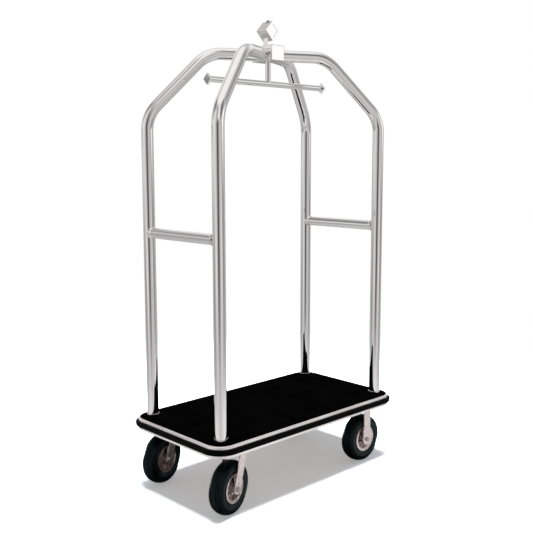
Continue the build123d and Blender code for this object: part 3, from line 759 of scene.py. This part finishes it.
# Painted light: tones that the metal mirrors in the floor, lighter and darker round the room in place of
# uneven light on it. In order round the room: behind the cart, the camera's left, the camera's own side,
# its right, and behind the cart again.
mirrored_floor_light = [(0.0, "#818181"), (0.2, "#7b7b7b"), (0.36, "#989898"), (0.47, "#838383")]
mirrored_floor_light += [(0.62, "#979797"), (0.76, "#8c8c8c"), (0.92, "#818181")]
around = np.linspace(0, 2 * np.pi, 97)
radii = np.linspace(0, floor_radius, 9)[:, None]
disc = [radii * np.cos(around), radii * np.sin(around), radii * 0 + around * 0 - floor_drop]
floor = surface("floor", np.stack(disc, -1))
floor_paint = bpy.data.materials.new("white_sweep")
floor_paint.use_nodes = True
tree = floor_paint.node_tree
tree.nodes.clear()
place = add(tree, "TexCoord", out="Object")
distance = add(tree, "VectorMath", {"operation": "LENGTH"}, out="Value", i0=place)
fade = add(tree, "MapRange", Value=distance, From_Min=fade_start, From_Max=fade_end)
# The floor that the metal sees gets painted light: its tone changes with direction round the room.
side = add(tree, "MapRange", Value=room_turn(tree, place), From_Min=-180, From_Max=180)
grey = add(tree, "BsdfDiffuse", Color=add(tree, "ValToRGB", {"stops": mirrored_floor_light}, Fac=side))
bright = add(tree, "BsdfDiffuse", Color=floor_tint)
white = add(tree, "AddShader", i0=bright, i1=add(tree, "Emission", Strength=floor_glow))
seen = add(tree, "LightPath", out="Is Camera Ray")
lit = add(tree, "MixShader", Fac=seen, i1=grey, i2=white)
add(tree, "OutputMaterial", Surface=add(tree, "MixShader", Fac=fade, i1=lit, i2=add(tree, "BsdfTransparent")))
floor.data.materials.append(floor_paint)
print("floor radius", floor_radius)

# %% Light tent
world = bpy.data.worlds.new("studio")
bpy.context.scene.world = world
world.use_nodes = True
tree = world.node_tree
tree.nodes.clear()
# Soft patches on the tent's wall, painted in order: azimuth from the camera's side of the room and
# elevation, half width, half height and soft edge, all in degrees, then brightness.
tent_patches = {
    "left window": (-62, 18, 22, 22, 10, 0.86),
    "left glow": (-108, 5, 26, 9, 7, 0.86),
    "left high flag": (-112, 38, 32, 11, 8, 0.2),
    "front grey": (40, 0, 14, 18, 8, 0.62),
    "right low wall": (86, -5, 26, 8, 5, 0.33),
    "right flag": (58, 34, 20, 15, 5, 0.22),
    "right window": (92, 10, 15, 10, 4, 1.2),
    "right back flag": (130, 27, 28, 9, 8, 0.26),
    "back wall": (180, 0, 60, 60, 14, 0.6),
    "back door": (180, -12, 34, 18, 8, 0.33),
    "back window": (180, 24, 50, 13, 6, 0.95),
    "left low shade": (-95, -10, 18, 5, 6, 0.33),
    "left low window": (-46, -8, 15, 4, 6, 0.9),
    "front low window": (52, -7, 14, 6, 6, 0.8),
    "near floor": (0, -19, 55, 5, 5, 0.75),
    "key light": (15, 38, 13, 19, 7, 1.05),
    "cap flag": (-98, 3.5, 5, 2.5, 1.5, 0.1),
    "camera flag": (-2, 2, 15, 16, 8, 0.1),
}
tent_wall = (0.5, 0.5, 0.5, 1)
tent_roof = (1.03, 1.03, 1.03, 1)
roof_edge = (50, 62)
ambient = (0.18, 0.18, 0.18, 1)


def patch(tree, turn, rise, place, colour):
    """Mixes one soft patch into the tent. Its mask is a soft edge on the distance in azimuth, which wraps at
    180 degrees, times another on the distance in elevation."""
    azimuth, elevation, half_width, half_height, soft, level = place
    masks = []
    for value, middle, half in ((turn, azimuth, half_width), (rise, elevation, half_height)):
        away = add(tree, "Math", {"operation": "SUBTRACT"}, i0=value, i1=middle)
        off = add(tree, "Math", {"operation": "PINGPONG"}, i0=away, i1=180.0)
        limits = {"From_Min": half + soft, "From_Max": half - soft}
        masks.append(add(tree, "MapRange", {"interpolation_type": "SMOOTHSTEP"}, Value=off, **limits))
    share = add(tree, "Math", {"operation": "MULTIPLY"}, i0=masks[0], i1=masks[1])
    return add(tree, "Mix", {"data_type": "RGBA"}, out=2, i0=share, i6=colour, i7=(level, level, level, 1))


ray = add(tree, "TexCoord", out="Generated")
height = add(tree, "SeparateXYZ", out="Z", Vector=ray)
rise = add(tree, "Math", {"operation": "DEGREES"}, i0=add(tree, "Math", {"operation": "ARCSINE"}, i0=height))
turn = room_turn(tree, ray)
colour = tent_wall
for place in tent_patches.values():
    colour = patch(tree, turn, rise, place, colour)
roof = add(tree, "MapRange", Value=rise, From_Min=roof_edge[0], From_Max=roof_edge[1])
kinds = add(tree, "LightPath", out=None)
layers = [(roof, tent_roof), (kinds["Is Diffuse Ray"], ambient), (kinds["Is Camera Ray"], linear("#ffffff"))]
for share, shade in layers:
    colour = add(tree, "Mix", {"data_type": "RGBA"}, out=2, i0=share, i6=colour, i7=shade)
add(tree, "OutputWorld", Surface=add(tree, "Background", Color=colour, Strength=1.0))
print("tent patches", len(tent_patches))


# %% Overhead lamp
def softbox(name, place, aim, size, power):
    """A large square lamp that faces a point, and that the metal doesn't mirror."""
    lamp = bpy.data.lights.new(name, "AREA")
    lamp.shape = "SQUARE"
    lamp.size = size
    lamp.energy = power
    holder = bpy.data.objects.new(name, lamp)
    bpy.context.scene.collection.objects.link(holder)
    holder.location = place
    holder.visible_glossy = False
    holder.rotation_euler = (Vector(aim) - Vector(place)).to_track_quat("-Z", "Y").to_euler()
    return holder


overhead = softbox("overhead", place=(0.0, 0.0, 4.2), aim=(0, 0, 0.3), size=1.9, power=600)
print("lamp", overhead.name, overhead.data.energy, "W")

# %% [markdown]
# ## Camera
# The camera stands off the front left corner, a little above chest height, with a short portrait lens.

# %% Camera
lens = bpy.data.cameras.new("camera")
lens.sensor_width = 36
lens.lens = 53.95
lens.dof.use_dof = False
camera = bpy.data.objects.new("camera", lens)
bpy.context.scene.collection.objects.link(camera)
camera.location = (-2.478, -2.582, 1.4289)
camera_pitch = 0.1335
camera_roll = 0.0018
camera.rotation_euler = (math.pi / 2 - camera_pitch, camera_roll, camera_turn - math.pi / 2)
bpy.context.scene.camera = camera
bpy.context.scene.view_settings.view_transform = "Standard"
print("lens", round(lens.lens, 2), "mm")
